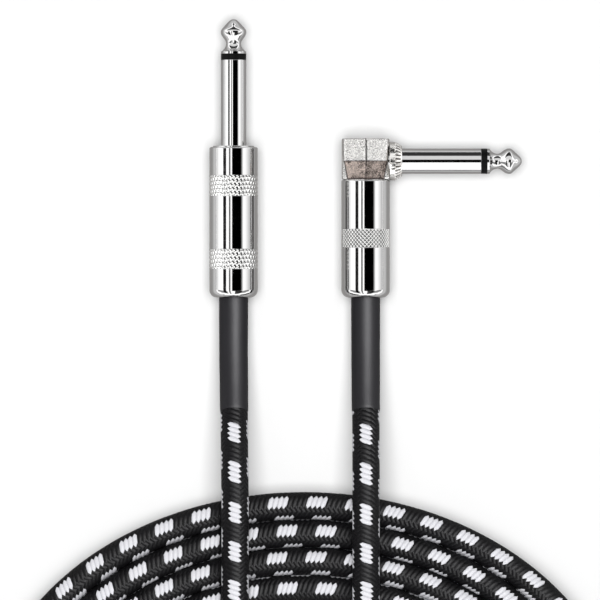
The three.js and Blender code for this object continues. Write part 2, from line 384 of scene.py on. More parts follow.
def new_material(name):
    material = bpy.data.materials.new(name)
    material.use_nodes = True
    return material, Graph(material.node_tree)


def hollow(g, start, depth):
    """1 in the cut hollows of a turned piece, from start to depth millimetres below its surface."""
    below = g.add("ShaderNodeAttribute", {}, output="Fac", attribute_name="relief")
    return g.ramp(below, -start, -depth, 0.0, 1.0)


def chrome():
    """Plate with faint smears from handling. The flanks of knurls and threads carry a painted highlight, and
    their hollows painted shade.
    """
    material, g = new_material("chrome")
    smear = g.noise(g.place(), 0.35, detail=4.0)
    grain = g.noise(g.place(), 9.0, detail=2.0)
    plate = g.mix(smear, (0.5, 0.5, 0.505, 1), (0.55, 0.545, 0.54, 1))
    # Painted highlight: a paler plate on the flanks of knurls and threads.
    flank_highlight = g.mix(hollow(g, 0.0, 0.05), plate, (0.8, 0.8, 0.79, 1))
    g.surface(
        Metallic=1.0,
        # Painted shade: the hollows of knurls and threads are near black.
        Base_Color=g.mix(hollow(g, 0.1, 0.19), flank_highlight, (0.03, 0.03, 0.032, 1)),
        Roughness=g.ramp(smear, 0.3, 0.8, 0.04, 0.09),
        Normal=g.bump(grain, 0.0008),
    )
    return material


def cast_nickel():
    """Plated zinc casting. Its faces that slope to the barrel are rough and pinkish, with dark pits."""
    material, g = new_material("cast_nickel")
    point = g.place()
    x, y, _ = g.split(point)
    across = g.math("ABSOLUTE", g.math("SUBTRACT", x, ANGLE_AXIS / MM))
    above = g.math("SUBTRACT", y, ANGLE_SHOULDER.y / MM)

    # The rough faces narrow towards the barrel, and thin dark seams run round them and up the ridge. The
    # hollows of the boss's thread get painted shade, as dark as the seams.
    foot, finger = HEAD_FOOT[1][0], HEAD_SECTION[1][0]
    widening = (finger - foot) / (FINGER_ABOVE_BARREL / MM)
    half_width = g.math("MULTIPLY_ADD", above, widening, foot)
    past_side = g.math("SUBTRACT", across, half_width)
    past_top = g.math("SUBTRACT", above, FINGER_ABOVE_BARREL / MM)
    past_foot = g.math("SUBTRACT", GAP / MM, above)
    past = g.math("MAXIMUM", g.math("MAXIMUM", past_side, past_top), past_foot)
    rough = g.ramp(past, -0.1, 0.1, 1.0, 0.0)
    round_seam = g.between(past, -0.16, 0.06, 0.06)
    ridge_seam = g.ramp(across, 0.05, 0.2, 0.75, 0.0)
    seam = g.math("MAXIMUM", round_seam, ridge_seam)
    dark = g.math("MAXIMUM", seam, hollow(g, 0.1, 0.3))

    speckle = g.noise(point, 4.4, detail=5.0, roughness=0.8)
    blotch = g.noise(point, 0.45, detail=2.0)
    level = g.math("MULTIPLY_ADD", rough, 0.075, 0.47)
    pit = g.ramp(g.math("SUBTRACT", level, speckle), -0.05, 0.07, 0.0, 1.0)
    # Painted highlight: the casting's sides, beyond the rough faces, get a paler plate.
    beside = g.ramp(past_side, 0.0, 0.3, 0.0, 1.0)
    smooth_plate_and_side_highlight = g.mix(beside, (0.74, 0.73, 0.715, 1), (0.95, 0.94, 0.92, 1))
    plate = g.mix(rough, smooth_plate_and_side_highlight, (0.95, 0.8, 0.72, 1))
    pit_colour = g.mix(rough, (0.1, 0.095, 0.09, 1), (0.03, 0.022, 0.02, 1))
    colour = g.mix(g.math("MULTIPLY", pit, g.ramp(blotch, 0.35, 0.6, 0.6, 1.0)), plate, pit_colour)
    g.surface(
        Metallic=1.0,
        Base_Color=g.mix(dark, colour, (0.07, 0.06, 0.06, 1)),
        Roughness=g.ramp(rough, 0.0, 1.0, 0.24, 0.4),
        Normal=g.bump(speckle, 0.03),
    )
    return material


def polished_casting():
    """The collar's plate: smoother than the head, with a few dull specks, and painted shade in its slots."""
    material, g = new_material("polished_casting")
    speck = g.noise(g.place(), 2.6, detail=4.0)
    plate = g.mix(g.ramp(speck, 0.45, 0.3, 0.0, 1.0), (0.74, 0.73, 0.71, 1), (0.5, 0.44, 0.42, 1))
    g.surface(
        Metallic=1.0,
        # Painted shade: the slots are dark.
        Base_Color=g.mix(hollow(g, 0.15, 0.4), plate, (0.06, 0.045, 0.04, 1)),
        Roughness=g.ramp(speck, 0.3, 0.7, 0.3, 0.14),
        Normal=g.bump(speck, 0.012),
    )
    return material


def brass():
    material, g = new_material("brass")
    tarnish = g.noise(g.place(), 0.8, detail=4.0)
    g.surface(
        Metallic=1.0,
        Base_Color=g.mix(tarnish, (0.62, 0.43, 0.17, 1), (0.78, 0.6, 0.3, 1)),
        Roughness=g.ramp(tarnish, 0.3, 0.7, 0.25, 0.45),
        Normal=g.bump(g.noise(g.place(), 8.0), 0.005),
    )
    return material


def plastic(name, dark, light, roughness, relief):
    """Moulded plastic: a faint mottle, and a fine texture from the mould."""
    material, g = new_material(name)
    mottle = g.noise(g.place(), 0.6)
    texture = g.noise(g.place(), 6.0, detail=2.0)
    g.surface(
        Base_Color=g.mix(mottle, dark, light),
        Roughness=g.ramp(texture, 0.3, 0.7, roughness - 0.06, roughness + 0.06),
        Specular_IOR_Level=0.05,
        Normal=g.bump(texture, relief),
    )
    return material


def shrink_tube():
    """Heat-shrunk sleeve: dark grey and satin, with fine pitting and soft lengthwise drag lines."""
    material, g = new_material("shrink_tube")
    point = g.place()
    stretched = g.add("ShaderNodeVectorMath", {0: point, 1: (1.0, 0.07, 1.0)}, operation="MULTIPLY")
    drag = g.noise(stretched, 2.2, detail=3.0)
    pitting = g.noise(point, 5.0, detail=3.0)
    height = g.math("MULTIPLY_ADD", drag, 0.6, pitting)
    g.surface(
        Base_Color=g.mix(drag, (0.003, 0.0028, 0.004, 1), (0.006, 0.0055, 0.0075, 1)),
        Roughness=g.ramp(pitting, 0.3, 0.7, 0.46, 0.56),
        Specular_IOR_Level=0.15,
        Normal=g.bump(height, 0.015),
    )
    return material


# ---- The woven cover, drawn from the cord's own map: u goes once round it, and v is millimetres along ----

PICK_PITCH = 1.2  # from one pick to the next, along the cord
PERIOD_PICKS = 8
DASH_PICKS = 4
ROWS_ROUND = 4
ROW_SHIFT = 3  # picks from one row's dashes to the next row's
FIRST_DASH = 2  # picks from the cord's end to the first dash of the row on top
DASH_HALF = 1.8  # millimetres round the cord, from a dash's middle to its pointed edge
FULLNESS = 1.75  # a pick's width at its middle, in pitches; from 1 up, neighbouring picks merge
POINTING = 1.35  # how late a pick narrows to its points
SLANT = 0.3  # millimetres along a pick's middle line for each one across it
SIDE_CROWN = 0.55  # heights, as shares of the relief
MAIN_CROWN = 0.6
MAIN_LIFT = 0.4
RELIEF = 0.34  # millimetres
QUARTER = TURN * CORD_RADIUS / MM / ROWS_ROUND  # from one row to the next, round the cord


def braid():
    """Black herringbone with four rows of white dashes. A dash is four slanted picks, side by side."""
    material, g = new_material("braid")
    round_and_along = g.split(g.add("ShaderNodeUVMap", {}, uv_map="weave"))
    rows = g.math("MULTIPLY", round_and_along[0], ROWS_ROUND)
    along = round_and_along[1]
    nearest = g.math("ROUND", rows)
    across = g.math("MULTIPLY", g.math("SUBTRACT", rows, nearest), QUARTER)
    row = g.math("MODULO", nearest, ROWS_ROUND)
    across_size = g.math("ABSOLUTE", across)

    # Picks: the main ones lie on each row, and the side ones between rows, half a pitch on and mirrored.
    slanted = g.math("MULTIPLY_ADD", across, SLANT, along)
    mirrored = g.math("MULTIPLY_ADD", across_size, 2 * SLANT, along)
    main_place = g.math("SUBTRACT", g.math("FRACT", g.math("DIVIDE", slanted, PICK_PITCH)), 0.5)
    side_shift = g.math("ADD", g.math("DIVIDE", mirrored, PICK_PITCH), 0.5)
    side_place = g.math("SUBTRACT", g.math("FRACT", side_shift), 0.5)
    main_off = g.math("MULTIPLY", g.math("ABSOLUTE", main_place), 2.0)
    side_off = g.math("MULTIPLY", g.math("ABSOLUTE", side_place), 2.0)

    # A main pick is leaf-shaped: full at its middle and pointed at both ends.
    edge = g.math("DIVIDE", across_size, DASH_HALF)
    narrowing = g.math("MULTIPLY", FULLNESS, g.math("POWER", edge, POINTING))
    inside = g.math("SUBTRACT", g.math("SUBTRACT", FULLNESS, narrowing), main_off)
    leaf = g.ramp(inside, -0.04, 0.1, 0.0, 1.0)

    # White where this row's dash is.
    picks_along = g.math("SUBTRACT", g.math("DIVIDE", slanted, PICK_PITCH), FIRST_DASH)
    pick = g.math("MULTIPLY_ADD", row, ROW_SHIFT, picks_along)
    share = g.math("FRACT", g.math("DIVIDE", pick, PERIOD_PICKS))
    dash = g.math("LESS_THAN", share, DASH_PICKS / PERIOD_PICKS)
    white = g.math("MULTIPLY", dash, leaf)

    # Relief: each pick is round across, and a main pick lies over its neighbours.
    main_crown = g.math("SUBTRACT", 1.0, g.math("POWER", main_off, 2.0))
    side_crown = g.math("MULTIPLY", g.math("SUBTRACT", 1.0, g.math("POWER", side_off, 2.0)), SIDE_CROWN)
    lifted = g.math("MULTIPLY_ADD", main_crown, MAIN_CROWN, MAIN_LIFT)
    height = g.add("ShaderNodeMix", {0: leaf, 2: side_crown, 3: lifted})

    # Fibres run along each pick, which is round the cord.
    strand = g.add("ShaderNodeCombineXYZ", {0: g.math("MULTIPLY", across, 0.7), 1: slanted, 2: row})
    fibre = g.noise(strand, 9.0, detail=2.0)
    fuzz = g.noise(g.place(), 1.7, detail=4.0)
    relief = g.math("MULTIPLY_ADD", fibre, 0.12, height)

    pale = g.mix(g.ramp(fibre, 0.35, 0.65, 0.0, 1.0), (0.4, 0.4, 0.44, 1), (0.56, 0.56, 0.57, 1))
    # Painted shade: each pick darkens towards its edges, in the valleys between picks.
    valley_shade = g.ramp(main_off, 0.6, 1.0, 0.0, 0.22)
    pale = g.mix(valley_shade, pale, (0.16, 0.16, 0.19, 1))
    black = g.mix(fuzz, (0.001, 0.001, 0.0012, 1), (0.004, 0.0037, 0.0045, 1))
    g.surface(
        Base_Color=g.mix(white, black, pale),
        Roughness=g.ramp(fibre, 0.3, 0.7, 0.4, 0.55),
        Specular_IOR_Level=0.07,
        Normal=g.bump(relief, RELIEF),
    )
    return material


# ---- Mesh helpers ----


class Shell:
    """Collects turned surfaces in a plug's own frame, to make one piece of them."""

    def __init__(self):
        self.points = []
        self.faces = []
        self.reliefs = []

    def turn(self, profile, columns=96, relief=None):
        """Turns a profile of (radius, y) round the Y axis. relief(angle, y), which is 0 or less, is added to
        the radius and is kept on the mesh in millimetres, for the materials."""
        first = len(self.points)
        for radius, y in profile:
            for column in range(columns):
                angle = TURN * column / columns
                extra = relief(angle, y) if relief else 0
                out = max(0, radius + extra)
                self.points.append((out * math.cos(angle), y, out * math.sin(angle)))
                self.reliefs.append(extra / MM)
        for row in range(len(profile) - 1):
            for column in range(columns):
                here = first + row * columns + column
                beside = first + row * columns + (column + 1) % columns
                self.faces.append((here, here + columns, beside + columns, beside))

    def finish(self, name, place, material, body, nodes, slot, sharp=40):
        mesh = bpy.data.meshes.new(name)
        mesh.from_pydata(self.points, [], self.faces)
        mesh.attributes.new("relief", "FLOAT", "POINT").data.foreach_set("value", self.reliefs)
        work = bmesh.new()
        work.from_mesh(mesh)
        bmesh.ops.remove_doubles(work, verts=work.verts, dist=0.001 * MM)
        bmesh.ops.dissolve_degenerate(work, edges=work.edges, dist=0.0005 * MM)
        bmesh.ops.recalc_face_normals(work, faces=work.faces)
        work.to_mesh(mesh)
        work.free()
        return add_piece(name, mesh, place, material, body, nodes, sharp)


def add_piece(name, mesh, place, material, body, nodes, sharp=40):
    mesh.transform(place)
    mesh.materials.append(material)
    mesh.shade_smooth()
    mesh.set_sharp_from_angle(angle=math.radians(sharp))
    piece = bpy.data.objects.new(name, mesh)
    bpy.context.collection.objects.link(piece)
    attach(piece, body)
    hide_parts(*nodes)
    return piece


def eased(profile, size):
    """The profile with each corner rounded, and a point on the flat beside each rounding to keep it flat."""
    steps = 4
    most_of_side = 0.45  # the share of a side that one rounding may take
    flat_enough = 0.3  # a rounding that takes less of a side than this leaves a flat on it
    past_rounding = 1.3
    points = [Vector(point) for point in profile]
    result = [points[0]]
    for before, corner, after in zip(points, points[1:], points[2:]):
        back = before - corner
        on = after - corner
        reach = min(size, most_of_side * back.length, most_of_side * on.length)
        start = corner + back.normalized() * reach
        end = corner + on.normalized() * reach
        if reach < flat_enough * back.length:
            result.append(corner + back.normalized() * reach * past_rounding)
        for step in range(steps + 1):
            t = step / steps
            result.append(start.lerp(corner, t).lerp(corner.lerp(end, t), t))
        if reach < flat_enough * on.length:
            result.append(corner + on.normalized() * reach * past_rounding)
    result.append(points[-1])
    return [(point.x, point.y) for point in result]


def tube(line, radius_at, sides, roll_at=None):
    """A mesh round a line, with the weave's map on it. radius_at(share, angle) is the radius."""
    points = []
    faces = []
    up = Vector((0, 0, 1))
    count = len(line)
    along = [0]
    for first, second in zip(line, line[1:]):
        along.append(along[-1] + (second - first).length)
    for index, centre in enumerate(line):
        direction = (line[min(index + 1, count - 1)] - line[max(index - 1, 0)]).normalized()
        side = direction.cross(up).normalized()
        top = side.cross(direction)
        roll = roll_at(along[index]) if roll_at else 0
        for column in range(sides):
            angle = TURN * column / sides
            out = radius_at(along[index] / along[-1], angle)
            points.append(centre + (top * math.cos(angle + roll) + side * math.sin(angle + roll)) * out)
    for index in range(count - 1):
        for column in range(sides):
            here = index * sides + column
            beside = index * sides + (column + 1) % sides
            faces.append((here, beside, beside + sides, here + sides))
    faces.append(tuple(range(sides))[::-1])
    faces.append(tuple(range((count - 1) * sides, count * sides)))
    mesh = bpy.data.meshes.new("tube")
    mesh.from_pydata([tuple(point) for point in points], [], faces)
    weave = mesh.uv_layers.new(name="weave")
    for face in mesh.polygons:
        if len(face.vertices) != 4:
            continue
        index, column = divmod(face.vertices[0], sides)
        corners = ((column, index), (column + 1, index), (column + 1, index + 1), (column, index + 1))
        for loop, (across, ring) in zip(face.loop_indices, corners):
            weave.data[loop].uv = (across / sides, along[ring] / MM)
    return mesh


# ---- The contact finger, the same on both plugs ----


# The tip's outline as (radius, distance back from its end).
TIP_OUTLINE = [
    (3.17, 8.1),
    (2.8, 7.85),
    (2.25, 7.25),
    (1.95, 6.6),
    (1.88, 5.95),
    (2.1, 5.35),
    (2.5, 4.8),
    (3.02, 4.0),
    (3.19, 3.25),
    (3.02, 2.55),
    (2.1, 1.5),
    (1.5, 0.85),
    (0.95, 0.34),
    (0.5, 0.08),
    (0.0, 0.0),
]


def build_tip(name, length, place, rod_back, node):
    shell = Shell()
    back = length - TIP_LENGTH
    outline = [Vector((radius * MM, length - from_end * MM, 0)) for radius, from_end in TIP_OUTLINE]
    curve, _ = smooth_line(outline, TIP_STEP)
    rim = FINGER_RADIUS - FIT
    profile = [(0, rod_back), (ROD_RADIUS, rod_back), (ROD_RADIUS, back), (rim, back)]
    profile += [(rim, length - TIP_RIM), *((max(0, point.x), point.y) for point in curve)]
    shell.turn(profile)
    shell.finish(name, place, finishes["chrome"], "cable", [node], "chrome_plate", sharp=60)


def build_ring(name, length, place, sleeve_back, node):
    shell = Shell()
    bore = ROD_RADIUS + GAP
    front = length - TIP_LENGTH - FIT
    back = length - TIP_LENGTH - RING_LENGTH + FIT
    profile = [
        (bore, sleeve_back),
        (LINING_RADIUS, sleeve_back),
        (LINING_RADIUS, back),
        (FINGER_RADIUS, back),
        (FINGER_RADIUS, front),
        (bore, front),
        (bore, sleeve_back),
    ]
    shell.turn(eased(profile, SMALL_EDGE))
    shell.finish(name, place, finishes["black plastic"], "cable", [node], "black_plastic")


def thread(angle, y):
    """A right-hand screw thread with flat crests, cut into the boss."""
    phase = (y / THREAD_PITCH + angle / TURN) % 1
    return -THREAD_DEPTH * smooth(abs(2 * phase - 1) * THREAD_STEEPNESS)


def add_boss(shell):
    """The thread that the barrel screws onto, and the plain register in front of it."""
    rows = round((THREAD_LENGTH - REGISTER_LENGTH) / THREAD_PITCH * THREAD_ROWS)
    ys = [-THREAD_LENGTH + THREAD_PITCH * row / THREAD_ROWS for row in range(rows + 1)]
    shell.turn([(THREAD_RADIUS, y) for y in ys], columns=THREAD_SIDES, relief=thread)
    end_face = THREAD_RADIUS - 0.3 * MM
    shell.turn([(LINING_RADIUS, -THREAD_LENGTH), (end_face, -THREAD_LENGTH)])
    neck = THREAD_RADIUS - 0.5 * MM
    neck_length = 0.3 * MM
    overlap = 0.05 * MM
    rounding = 0.12 * MM
    register = [
        (neck, -REGISTER_LENGTH - neck_length),
        (REGISTER_RADIUS, -REGISTER_LENGTH),
        (REGISTER_RADIUS, REGISTER_PROUD),
        (FINGER_RADIUS - overlap, REGISTER_PROUD),
    ]
    shell.turn(eased(register, rounding))


def sleeve_profile(back, front):
    """The finger's own tube, with its bore."""
    bore = LINING_RADIUS + GAP
    return [(bore, back), (FINGER_RADIUS, back), (FINGER_RADIUS, front), (bore, front), (bore, back)]


# ---- The screw-on barrel ----


def pearls(count, pitch, depth):
    """Rows of round bumps, count of them round the barrel, each row half a step on from the one before."""
    step = TURN * BARREL_RADIUS / count
    bump_radius = PEARL_SIZE * step

    def relief(angle, y):
        tallest = 0
        row = math.floor(y / pitch)
        for near in (row, row + 1):
            place = count * angle / TURN + near / 2
            across = (place - round(place)) * step
            away = math.hypot(across, y - near * pitch) / bump_radius
            tallest = max(tallest, math.sqrt(max(0, 1 - away ** 2)))
        return -depth * (1 - tallest)

    return relief


def diamonds(count, pitch, depth):
    """Raised diamonds between two sets of slanting grooves, count of them round the barrel."""

    def relief(angle, y):
        round_it = count * angle / TURN
        first = math.sin(math.pi * (round_it + y / pitch))
        second = math.sin(math.pi * (round_it - y / pitch))
        return -depth * (1 - math.sqrt(abs(first * second)))

    return relief


def barrel_profile(length, bands):
    """The barrel's section, from inside its mouth round the outside and back in at its rear."""
    inner = BARREL_RADIUS - BARREL_WALL
    mouth = REGISTER_RADIUS + GAP
    thread_bore = THREAD_RADIUS + GAP
    groove = KNURL_GROOVE
    edge_steps = 8
    lip = 0.1 * MM
    chamfer = 0.25 * MM
    outside = [(mouth, -MOUTH_DEPTH), (mouth, -lip / 2), (mouth + lip, 0)]
    outside += [(BARREL_RADIUS - chamfer, 0), (BARREL_RADIUS, -chamfer)]
    for start, end in bands:
        outside += [
            (BARREL_RADIUS, -start),
            (BARREL_RADIUS - groove, -start - groove),
            (BARREL_RADIUS - groove, -end + groove),
            (BARREL_RADIUS, -end),
        ]
    for step in range(edge_steps + 1):
        turn = TURN / 4 * step / edge_steps
        radius = BARREL_RADIUS - REAR_EDGE * (1 - math.cos(turn))
        outside.append((radius, -length + REAR_EDGE * (1 - math.sin(turn))))
    inside = [
        (REAR_HOLE, -length),
        (REAR_HOLE, -length + REAR_WALL),
        (inner, -length + REAR_WALL),
        (inner, -THREAD_LENGTH),
        (thread_bore, -THREAD_LENGTH),
        (thread_bore, -MOUTH_DEPTH),
        (mouth, -MOUTH_DEPTH),
    ]
    return outside + inside


def build_barrel(name, length, bands, relief, columns, place, body, node):
    shell = Shell()
    rounding = 0.1 * MM
    shell.turn(eased(barrel_profile(length, bands), rounding), BARREL_SIDES)
    for start, end in bands:
        rows = round((end - start) / KNURL_ROW_STEP)
        ys = [-start - (end - start) * row / rows for row in range(rows + 1)]
        shell.turn([(BARREL_RADIUS + KNURL_PROUD, y) for y in ys], columns, relief)
    shell.finish(name, place, finishes["chrome"], body, [node], "chrome_plate", sharp=50)


# ---- The right-angle plug's cast head and its collar ----

# Half of the head's section at and above the finger, and where it meets the barrel, as (x, z).
HEAD_SECTION = [(0.0, 6.0), (5.4, 3.7), (5.95, 2.6)]
HEAD_FOOT = [(0.0, 4.9), (4.5, 3.15), (5.95, 2.3)]

# The casting's unevenness, as (lumps to a millimetre, their share of the height).
LUMPS = [(0.8, 0.3), (2.6, 0.5), (5.5, 0.6)]
LUMP_HEIGHT = 0.028 * MM
HEAD_EDGE = 0.3 * MM
HEAD_VOXEL = 0.17 * MM


def head_section(half, y):
    """The whole section's corners, from half of its front."""
    points = []
    for x, z in half:
        points += [(side * x * MM, y, face * z * MM) for side in (1, -1) for face in (1, -1)]
    return points


def faceted_block():
    """The head's flat faces, with rounded edges."""
    work = bmesh.new()
    levels = ((HEAD_FOOT, GAP), (HEAD_SECTION, FINGER_ABOVE_BARREL), (HEAD_SECTION, HEAD_HEIGHT))
    for half, y in levels:
        for point in set(head_section(half, y)):
            work.verts.new(point)
    hull = bmesh.ops.convex_hull(work, input=work.verts)
    inner = [item for item in hull["geom_interior"] if isinstance(item, bmesh.types.BMVert)]
    bmesh.ops.delete(work, geom=inner, context="VERTS")
    bmesh.ops.dissolve_limit(work, angle_limit=0.01, verts=work.verts, edges=work.edges)
    edges = list(work.edges)
    bmesh.ops.bevel(work, geom=edges, offset=HEAD_EDGE, segments=3, profile=0.5, affect="EDGES")
    bmesh.ops.triangulate(work, faces=work.faces)
    mesh = bpy.data.meshes.new("angle_head_block")
    work.to_mesh(mesh)
    work.free()
    return mesh


def cast_block():
    """The block with an even, fine mesh, and the lumps of a casting."""
    block = bpy.data.objects.new("angle_head_block", faceted_block())
    bpy.context.collection.objects.link(block)
    remesh = block.modifiers.new("even", "REMESH")
    remesh.mode = "VOXEL"
    remesh.voxel_size = HEAD_VOXEL
    bpy.context.view_layer.update()
    evaluated = block.evaluated_get(bpy.context.evaluated_depsgraph_get())
    even = bpy.data.meshes.new_from_object(evaluated)
    bpy.data.objects.remove(block)
    for vertex in even.vertices:
        at = vertex.co / MM
        lump = sum(noise.noise(at * rate) * share for rate, share in LUMPS)
        vertex.co += vertex.normal * lump * LUMP_HEIGHT
    return even


def build_head():
    block = cast_block()
    boss = Shell()
    add_boss(boss)
    first = len(block.vertices)
    points = [tuple(vertex.co) for vertex in block.vertices] + boss.points
    faces = [tuple(face.vertices) for face in block.polygons]
    faces += [tuple(first + index for index in face) for face in boss.faces]
    whole = bpy.data.meshes.new("angle_head_cast")
    whole.from_pydata(points, [], faces)
    reliefs = [0.0] * first + boss.reliefs
    whole.attributes.new("relief", "FLOAT", "POINT").data.foreach_set("value", reliefs)
    finish = finishes["cast nickel"]
    add_piece("angle_head_cast", whole, angle_place, finish, "cable", ["angle_head"], sharp=60)


def build_collar():
    """A plain rim against the head, then a taper with slots cut all round it."""
    slots = 28
    slot_columns = 10
    slot_depth = 0.42 * MM
    slot_floor = 0.18  # shares of the half distance between slots' middles
    slot_wall = 0.3125
    back_end = 0.2  # shares of the slot's length that its sloped ends take
    front_end = 0.25
    rim = 4.8 * MM
    rim_length = 1.25 * MM
    rim_edge = 0.15 * MM
    front = 3.8 * MM
    front_edge = 0.12 * MM
    front_land = 0.15 * MM
    clearance = 0.06 * MM
    swell = 0.12 * MM
    taper_start = -COLLAR_LENGTH + rim_length
    taper_end = -front_land

    def slot_cut(angle, y):
        if not taper_start < y < taper_end:
            return 0
        along = (y - taper_start) / (taper_end - taper_start)
        across = abs((slots * angle / TURN) % 1 - 0.5) * 2
        depth = slot_depth * smooth(along / back_end) * smooth((1 - along) / front_end)
        return -depth * (1 - smooth((across - slot_floor) / slot_wall))

    rows = 16
    bore = FINGER_RADIUS + clearance
    back = [(bore, -COLLAR_LENGTH), (rim, -COLLAR_LENGTH), (rim, taper_start)]
    profile = eased(back, rim_edge)
    for row in range(1, rows + 1):
        share = row / rows
        radius = rim + (front - rim) * share + swell * math.sin(math.pi * share)
        profile.append((radius, taper_start * (1 - share)))
    profile += [(front - front_edge, FIT), (bore, FIT), (bore, -COLLAR_LENGTH)]
    shell = Shell()
    shell.turn(profile, columns=slots * slot_columns, relief=slot_cut)
    finish = finishes["polished casting"]
    shell.finish("angle_collar_slotted", angle_finger_place, finish, "cable", ["angle_collar"], "cast_nickel")


# ---- The plugs ----


def build_straight_plug():
    ring_back = STRAIGHT_FINGER - TIP_LENGTH - RING_LENGTH
    shell = Shell()
    add_boss(shell)
    shell.turn(eased(sleeve_profile(-THREAD_LENGTH, ring_back), SMALL_EDGE))
    chrome_look = finishes["chrome"]
    nodes = ["straight_finger"]
    shell.finish("straight_finger_sleeve", straight_place, chrome_look, "cable", nodes, "chrome_plate")
    lining_back = -THREAD_LENGTH - LINING_PAST_BOSS
    rod_back = -THREAD_LENGTH - ROD_PAST_BOSS
    build_ring("straight_black_ring", STRAIGHT_FINGER, straight_place, lining_back, "straight_tip_insulator")
    build_tip("straight_pointed_tip", STRAIGHT_FINGER, straight_place, rod_back, "straight_tip")
    build_barrel(
        "straight_barrel_shell",
        STRAIGHT_BARREL,
        PEARL_BANDS,
        pearls(PEARLS_ROUND, PEARL_PITCH, KNURL_DEPTH),
        PEARLS_ROUND * PEARL_COLUMNS,
        straight_place,
        "straight_cover",
        "straight_barrel",
    )


def build_angle_plug():
    ring_back = ANGLE_FINGER - TIP_LENGTH - RING_LENGTH
    shank_back = -COLLAR_LENGTH - SHANK_IN_HEAD
    shell = Shell()
    shell.turn(eased(sleeve_profile(shank_back, ring_back), SMALL_EDGE))
    chrome_look = finishes["chrome"]
    nodes = ["angle_finger"]
    shell.finish("angle_finger_sleeve", angle_finger_place, chrome_look, "cable", nodes, "chrome_plate")
    lining_back = shank_back - LINING_PAST_BOSS
    rod_back = shank_back - ROD_PAST_SHANK
    build_ring("angle_black_ring", ANGLE_FINGER, angle_finger_place, lining_back, "angle_tip_insulator")
    build_tip("angle_pointed_tip", ANGLE_FINGER, angle_finger_place, rod_back, "angle_tip")
    build_head()
    build_collar()
    build_barrel(
        "angle_barrel_shell",
        ANGLE_BARREL,
        DIAMOND_BANDS,
        diamonds(DIAMONDS_ROUND, DIAMOND_PITCH, KNURL_DEPTH),
        DIAMONDS_ROUND * DIAMOND_COLUMNS,
        angle_place,
        "angle_cover",
        "angle_barrel",
    )


# ---- Boots and cord ----


def unevenness(share, angle, rate, length):
    """Smooth noise from -1 to 1, taken on a cylinder of this length and of radius 1. rate is its fineness."""
    return noise.noise(Vector((math.cos(angle), math.sin(angle), share * length)) * rate)


def boot_radius(share, angle):
    """A shrunk sleeve: a little fuller at the barrel, slightly uneven, and turned in at its end."""
    wander = unevenness(share, angle, rate=0.9, length=9)
    ripple = unevenness(share, angle, rate=1.6, length=40)
    radius = BOOT_RADIUS - BOOT_TAPER * share + BOOT_WANDER * wander + BOOT_RIPPLE * ripple
    lip = smooth((share - LIP_START - LIP_WANDER * wander) / LIP_LENGTH)
    return radius + (CORD_RADIUS + FIT - radius) * lip


def build_boots(straight_line, angle_line):
    boots = []
    for name, line in (("straight", straight_line), ("angle", angle_line)):
        points, _ = smooth_line(line, BOOT_STEP)
        part = points[:round(BOOT_LENGTH / BOOT_STEP) + 1]
        mesh = tube(part, boot_radius, BOOT_SIDES)
        finish = finishes["shrink tube"]
        nodes = [f"{name}_boot"]
        piece_name = f"{name}_boot_sleeve"
        boots.append(add_piece(piece_name, mesh, Matrix(), finish, "cable", nodes, sharp=60))
    return boots


CORD_SIDES = 24
CORD_STEP = 1.0 * MM
COIL_ROLL = math.radians(18)
ROLL_START = 60 * MM  # from either end of the cord
ROLL_END = 150 * MM
ROLL_WANDER = [(math.radians(7), 9, 0), (math.radians(5), 23, 1)]  # (size, radians to a metre, phase)


def build_cord():
    line, length = smooth_line(cord_route(), CORD_STEP)

    def roll(along):
        """The rows of dashes lie on top of the leads, and a little to one side on the coil's turns."""
        nearest = min(along, length - along)
        wander = sum(size * math.sin(along * rate + phase) for size, rate, phase in ROLL_WANDER)
        return (COIL_ROLL + wander) * smooth((nearest - ROLL_START) / (ROLL_END - ROLL_START))

    mesh = tube(line, lambda share, angle: CORD_RADIUS, CORD_SIDES, roll)
    nodes = ["straight_lead", "cord_coil", "angle_lead"]
    cord = add_piece("braided_cord", mesh, Matrix(), finishes["braid"], "cable", nodes, sharp=80)
    return cord, length


# ---- The pieces inside the barrels, which keep their CAD shapes ----


def finish_inner_nodes():
    looks = {
        "straight_rear_washer": "black plastic",
        "straight_tip_lug": "brass",
        "straight_ground_clamp": "brass",
        "angle_ground_clamp": "brass",
        "straight_liner": "liner",
        "angle_liner": "liner",
        "straight_jacket_end": "jacket",
        "angle_jacket_end": "jacket",
        "straight_inner_wire": "wire",
        "angle_inner_wire": "wire",
    }
    for node, look in looks.items():
        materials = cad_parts[node].data.materials
        materials.clear()
        materials.append(finishes[look])


# ---- Floor and light ----


FLOOR_HALF = 1.2
FLOOR_DROP = 0.05 * MM  # below the coil's underside
DARK_NEAR = 12 * MM  # chrome this close to the floor sees it darkest
DARK_FAR = 34 * MM  # from here on it sees the floor nearly as pale as the camera does


def build_floor():
    half = FLOOR_HALF
    material, g = new_material("floor")
    mottle = g.noise(g.place(), 0.02)
    pale = g.mix(mottle, (0.59, 0.59, 0.59, 1), (0.61, 0.61, 0.61, 1))
    # Painted shade in the reflections: chrome sees the floor close under it darker than the camera does, as
    # in a light tent.
    glossy = g.add("ShaderNodeLightPath", {}, output="Is Glossy Ray")
    reach = g.add("ShaderNodeLightPath", {}, output="Ray Length")
    reflected_floor_shade = g.math("MULTIPLY", glossy, g.ramp(reach, DARK_NEAR, DARK_FAR, 1.0, 0.15))
    g.surface(
        Base_Color=g.mix(reflected_floor_shade, pale, (0.27, 0.265, 0.26, 1)),
        Roughness=0.9,
        Specular_IOR_Level=0.1,
    )
    mesh = bpy.data.meshes.new("floor")
    corners = [(-half, -half, 0), (half, -half, 0), (half, half, 0), (-half, half, 0)]
    mesh.from_pydata(corners, [], [(0, 1, 2, 3)])
    mesh.materials.append(material)
    floor = bpy.data.objects.new("floor", mesh)
    floor.location = (COIL_CENTRE.x, VIEW_CENTRE.y, -FLOOR_DROP)
    bpy.context.collection.objects.link(floor)


